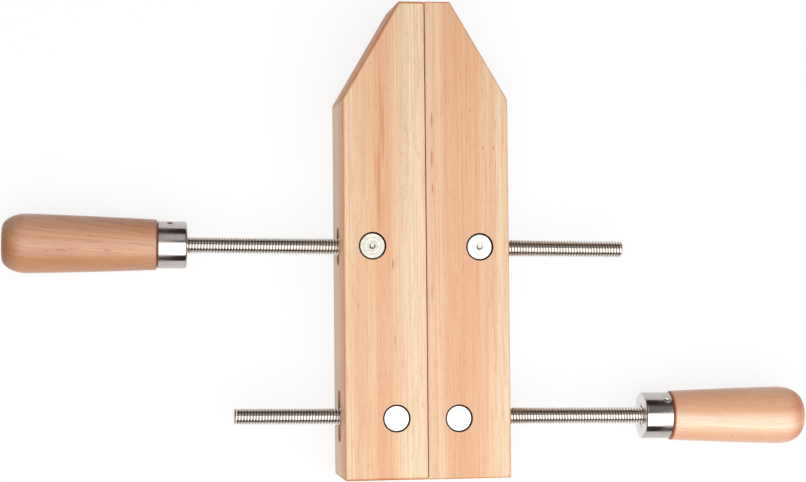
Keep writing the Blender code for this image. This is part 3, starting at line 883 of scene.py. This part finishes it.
def thread_steel(name, line):
    """Plated steel, darker in the roots of the thread than on its crests."""
    made, tree, shader, place = metal(name)
    along = seen_from(tree, place, Location=on_spindle(0, line), Rotation=(0, 0, LEAN))
    wear = add_node(tree, "ShaderNodeGroup",
                    {"Place": place, "Along": along, "Seed": line * SEED_SCALE},
                    node_tree=thread_group)
    colour = tint(tree, wear.outputs["Crest"], ROOT_COLOUR, CREST_COLOUR)
    dull = maths(tree, "MULTIPLY", wear.outputs["Dull"], DULL_SHOW)
    colour = tint(tree, dull, colour, DULL_PLATING)
    gloss = maths(tree, "MULTIPLY_ADD", wear.outputs["Crest"], CREST_POLISH, ROOT_ROUGHNESS)
    gloss = maths(tree, "MULTIPLY_ADD", wear.outputs["Dull"], DULL_ROUGHENS, gloss)
    set_finish(tree, shader, colour, gloss)
    return made


for place, line, handle_side in (("middle", MIDDLE_LINE, LEFT), ("end", END_LINE, RIGHT)):
    node = f"{place}_spindle"
    low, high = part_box(node)
    tip_x, tail_x = inner_outer(low, high, handle_side)
    tail = handle_side * reach_of(tail_x, TAIL_RADIUS)
    tip = -handle_side * reach_of(tip_x, THREAD_CREST - TIP_CHAMFER)
    thread_end = tail - handle_side * TAIL_LENGTH
    halves = []
    for side in (LEFT, RIGHT):
        end = thread_end if side == handle_side else tip
        span = sorted((side * BAND_HALF, end))
        hand = LEFT_HAND if side == LEFT else RIGHT_HAND
        halves.append(threaded_bar(span[0], span[1], hand))
    seat = BAND_HALF + THREAD_PITCH / 2
    core = [(0, tail), (TAIL_RADIUS - TAIL_CHAMFER_WIDTH, tail),
            (TAIL_RADIUS, tail - handle_side * TAIL_CHAMFER_LENGTH),
            (TAIL_RADIUS, handle_side * seat), (BAND_RADIUS, handle_side * seat),
            (BAND_RADIUS, -handle_side * seat), (0, -handle_side * seat)]
    rod = halves[0]
    joined(rod, turned(core, THREAD_STEPS), "UNION")
    joined(rod, halves[1], "UNION")
    wide = THREAD_CREST + TRIM_MARGIN
    slope = wide - THREAD_CREST + TIP_CHAMFER
    past_tail = tail + handle_side * TRIM_MARGIN
    trim = [(0, tip), (THREAD_CREST - TIP_CHAMFER, tip), (wide, tip + handle_side * slope),
            (wide, past_tail), (0, past_tail)]
    joined(rod, turned(trim, THREAD_STEPS), "INTERSECT")
    rod.name = f"{node}_rod"
    laid_on_spindle(rod, 0, line)
    bpy.ops.object.shade_smooth_by_angle(angle=THREAD_SMOOTH_ANGLE)
    rod.data.materials.append(thread_steel(f"plating of {node}", line))
    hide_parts(node)
    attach(rod, f"{place}_spindle")


# Ferrules
# Drawn steel cups, polished and nickel plated, pressed over the handles' tenons and punched
# in beside the rim to hold them. The flat end is pierced for the spindle and staked beside it.
FERRULE_RADIUS = 0.01258
FERRULE_LENGTH = 0.0154
FERRULE_WALL = 0.0009
FERRULE_PLATE = 0.0012
FERRULE_ROUNDING = 0.0012
ROUNDING_STEPS = 8
FERRULE_INNER_ROUNDING = 0.0006
INNER_ROUNDING_STEPS = 4
FIT_GAP = 0.0003
FERRULE_HOLE = THREAD_CREST + FIT_GAP
HOLE_CHAMFER = 0.0002
RIM_CHAMFER = 0.0003
RIM_INNER_WIDTH = 0.0002
RIM_INNER_LENGTH = 0.0001
PUNCH_SINK = 0.00085
PUNCH_STEPS = 48
STAKE_RADIUS = 0.0009
STAKE_STEPS = 24
STAKE_SPREAD = 0.0058
STAKE_OFFSET = 0.0008
NICKEL = (0.54, 0.49, 0.47, 1)
DULL_NICKEL = (0.44, 0.4, 0.38, 1)
NICKEL_DULL_SHOW = 0.4
BRUSHED_FACE = (0.78, 0.76, 0.74, 1)
POLISH_FINENESS = 7000
POLISH_RELIEF = (0.12, 0.00002)
NICKEL_CLOUDS_DULL = 0.06
FACE_ROUGHENS = 0.2
# The nickel's roughness near the flat end and at the rim, which is handled more
FACE_ROUGHNESS, RIM_ROUGHNESS = 0.12, 0.24
FACE_ZONE = 0.003
FLAT_RISE = (0.9, 0.99)

# What sets a ferrule's flat end apart from its side, and the side's wear towards the rim. Along
# has its Z up the ferrule from the flat end.
cup_group, coming, going = new_group(
    "ferrule wear", {"Along": "Vector", "Facing": "Vector"}, {"Flat": "Float", "Wear": "Float"})
flat = add_node(cup_group, "ShaderNodeSeparateXYZ", {0: coming["Facing"]}).outputs["X"]
flat = rise(cup_group, maths(cup_group, "ABSOLUTE", flat), *FLAT_RISE)
from_face = add_node(cup_group, "ShaderNodeSeparateXYZ", {0: coming["Along"]}).outputs["Z"]
worn = rise(cup_group, maths(cup_group, "ABSOLUTE", from_face), FACE_ZONE, FERRULE_LENGTH,
            FACE_ROUGHNESS, RIM_ROUGHNESS)
cup_group.links.new(flat, going["Flat"])
cup_group.links.new(worn, going["Wear"])


def ferrule_steel(name, line, face):
    """Polished nickel with faint polishing rings; the flat end is left brushed."""
    made, tree, shader, place = metal(name)
    along = seen_from(tree, place, Location=on_spindle(face, line),
                      Rotation=(0, QUARTER_TURN, LEAN))
    marks = add_node(tree, "ShaderNodeGroup",
                     {"Place": along, "Fineness": POLISH_FINENESS, "Seed": line * SEED_SCALE / 2},
                     node_tree=rings_group)
    facing = add_node(tree, "ShaderNodeNewGeometry").outputs["Normal"]
    wear = add_node(tree, "ShaderNodeGroup", {"Along": along, "Facing": facing},
                    node_tree=cup_group)
    gloss = maths(tree, "MULTIPLY_ADD", marks.outputs["Clouds"], NICKEL_CLOUDS_DULL,
                  wear.outputs["Wear"])
    gloss = maths(tree, "MULTIPLY_ADD", wear.outputs["Flat"], FACE_ROUGHENS, gloss)
    dull = maths(tree, "MULTIPLY", marks.outputs["Clouds"], NICKEL_DULL_SHOW)
    colour = tint(tree, dull, NICKEL, DULL_NICKEL)
    colour = tint(tree, wear.outputs["Flat"], colour, BRUSHED_FACE)
    set_finish(tree, shader, colour, gloss, marks.outputs["Rings"], *POLISH_RELIEF)
    return made


def round_nose(spot, radius, steps):
    """A ball to press a dent with."""
    return settle(fresh(bpy.ops.mesh.primitive_uv_sphere_add, segments=steps,
                        ring_count=steps // 2, radius=radius, location=spot))


def punch(height, lean, side, radius):
    """A round-nosed punch that meets the side of a ferrule that stands on its flat end. It
    leans from what will be the top, towards the noses."""
    angle = math.radians(lean)
    away = FERRULE_RADIUS - PUNCH_SINK + radius
    spot = (-side * away * math.cos(angle), away * math.sin(angle), height)
    return round_nose(spot, radius, PUNCH_STEPS)


# Each ferrule: its spindle's line, which side it is on, its body, its punch's radius, and its
# punch marks, as distance from the rim and lean from the top
for place, line, side, body, nose, punches in (
        ("middle", MIDDLE_LINE, LEFT, "spindle_carriage", 0.0032, ((0.0064, 61), (0.0064, 241))),
        ("end", END_LINE, RIGHT, "end_spindle", 0.0024, ((0.0030, 42), (0.0030, 222)))):
    node = f"{place}_ferrule"
    low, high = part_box(node)
    face_x = inner_outer(low, high, side)[0]
    face = side * reach_of(face_x, FERRULE_ROUNDING - FERRULE_RADIUS)
    inner = FERRULE_RADIUS - FERRULE_WALL
    corner = (FERRULE_RADIUS - FERRULE_ROUNDING, FERRULE_ROUNDING)
    outside = arc(corner, FERRULE_ROUNDING, 0, -90, ROUNDING_STEPS)
    inner_corner = (inner - FERRULE_INNER_ROUNDING, FERRULE_PLATE + FERRULE_INNER_ROUNDING)
    inside = arc(inner_corner, FERRULE_INNER_ROUNDING, -90, 0, INNER_ROUNDING_STEPS)
    lip = [(inner, FERRULE_LENGTH - RIM_INNER_LENGTH), (inner + RIM_INNER_WIDTH, FERRULE_LENGTH),
           (FERRULE_RADIUS - RIM_CHAMFER, FERRULE_LENGTH),
           (FERRULE_RADIUS, FERRULE_LENGTH - RIM_CHAMFER)]
    hole = [(FERRULE_HOLE + HOLE_CHAMFER, 0), (FERRULE_HOLE, HOLE_CHAMFER),
            (FERRULE_HOLE, FERRULE_PLATE)]
    cup = turned(lip + outside + hole + inside, closed=True)
    cup.name = f"{node}_cup"
    for from_rim, lean in punches:
        joined(cup, punch(FERRULE_LENGTH - from_rim, lean, side, nose))
    for across in (-1, 1):
        spot = (-side * STAKE_OFFSET, across * STAKE_SPREAD, 0)
        joined(cup, round_nose(spot, STAKE_RADIUS, STAKE_STEPS))
    laid_on_spindle(cup, face, line, side)
    bpy.ops.object.shade_smooth_by_angle(angle=SMOOTH_ANGLE)
    cup.data.materials.append(ferrule_steel(f"nickel of {node}", line, face))
    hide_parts(node)
    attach(cup, body)


# Handles
# Turned from maple with the grain along them: a tenon that the ferrule covers, a shoulder with
# a small rounding, a long swell and a crowned end. A thin lacquer warms the wood.
NECK_RADIUS = 0.01348
BELLY_RADIUS = 0.01568
NECK_ROUNDING = 0.0012
NECK_STEPS = 6
SWELL_ARC = math.radians(60)
CURVE_STEPS = 24
CROWN_LENGTH = 0.0131
CROWN_DROP = 0.0078
TENON_RADIUS = 0.01138
TENON_CHAMFER = 0.0004
HANDLE_BORE = TAIL_RADIUS + FIT_GAP
BORE_POINT = 0.001
HANDLE_NEAR, HANDLE_FAR = 0.030, 0.075
HANDLE_ROUGHNESS = 0.38
LACQUER = 0.4
# A dark line round the joint with the ferrule
JOINT_SIZE = (0.0012, 0.05, 0.05)
JOINT_STRENGTH = 0.6
# The bands of both woods are growth rings, laid so that the pale ones run along the middle of each
# handle as seen from above, where they are also a painted sheen; the warmer bands towards the upper
# and lower edges add painted shade.
MIDDLE_WOOD = {
    "seed": 11.3, "pale": srgb(218, 172, 137), "warm": srgb(188, 133, 97),
    "streak": srgb(172, 116, 84), "pore": srgb(120, 74, 50), "end_grain": (0.66, 0.54, 0.46, 1),
    "turns": (0.0, 0.7),
    "bands": ((0, 1), (0.4, 1), (0.5, 0.6), (0.6, 0.15), (0.68, 0.1), (0.73, 0.45), (0.78, 0.9))}
END_WOOD = {
    "seed": 23.9, "pale": srgb(252, 226, 198), "warm": srgb(225, 171, 135),
    "streak": srgb(214, 158, 122), "pore": JAW_PORE, "end_grain": (0.82, 0.58, 0.46, 1),
    "turns": (0.03, 0.55),
    "bands": ((0, 0.8), (0.2, 0.8), (0.44, 0.95), (0.51, 0.6), (0.6, 0.05), (0.67, 0.1),
              (0.75, 1))}

# Each handle is turned from its own blank, so its rings start beside its axis, and its grain
# runs out by some degrees
for place, line, side, body, heart, run_out, wood in (
        ("middle", MIDDLE_LINE, LEFT, "middle_spindle", (-0.045, -0.022), -5.0, MIDDLE_WOOD),
        ("end", END_LINE, RIGHT, "end_spindle", (-0.046, -0.026), 0.4, END_WOOD)):
    node = f"{place}_handle"
    low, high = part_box(node)
    near_x, end_x = inner_outer(low, high, side)
    start = reach_of(near_x, -TENON_RADIUS)
    length = reach_of(end_x, BELLY_RADIUS - CROWN_DROP) - start
    shoulder = FERRULE_LENGTH + FIT_GAP - (FERRULE_PLATE + FIT_GAP)
    neck = shoulder + NECK_ROUNDING
    crown = length - CROWN_LENGTH
    over = []
    for n in range(1, CURVE_STEPS + 1):
        angle = math.radians(90 * (1 - n / CURVE_STEPS))
        over.append((BELLY_RADIUS - CROWN_DROP * (1 - math.sin(angle)),
                     crown + CROWN_LENGTH * math.cos(angle)))
    swell = []
    for n in range(CURVE_STEPS + 1):
        on = n / CURVE_STEPS
        swell.append((NECK_RADIUS + (BELLY_RADIUS - NECK_RADIUS)
                      * math.sin(on * SWELL_ARC) / math.sin(SWELL_ARC), neck + (crown - neck) * on))
    rounding = arc((NECK_RADIUS - NECK_ROUNDING, neck), NECK_ROUNDING, 0, -90, NECK_STEPS)
    bore_end = TAIL_LENGTH + FIT_GAP
    profile = [(0, length)] + over[::-1] + swell[::-1] + rounding[1:]
    profile += [(TENON_RADIUS, shoulder), (TENON_RADIUS, TENON_CHAMFER),
                (TENON_RADIUS - TENON_CHAMFER, 0), (HANDLE_BORE, 0), (HANDLE_BORE, bore_end),
                (0, bore_end + BORE_POINT)]
    grip = turned(profile)
    grip.name = f"{node}_grip"
    laid_on_spindle(grip, side * start, line, side)
    bpy.ops.object.shade_smooth_by_angle(angle=SMOOTH_ANGLE)
    middle = on_spindle(side * (start + length / 2), line)
    beside = (middle[0], middle[1] + heart[0], middle[2] + heart[1])
    joint = (on_spindle(side * (start + shoulder), line), JOINT_SIZE, JOINT_STRENGTH, BROWN_MARK)
    look = maple(f"maple of {node}", beside, (0, 0, math.radians(90 + run_out) + LEAN),
                 HANDLE_NEAR, HANDLE_FAR, marks=[joint], roughness=HANDLE_ROUGHNESS,
                 coat=LACQUER, **wood)
    grip.data.materials.append(look)
    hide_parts(node)
    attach(grip, body)
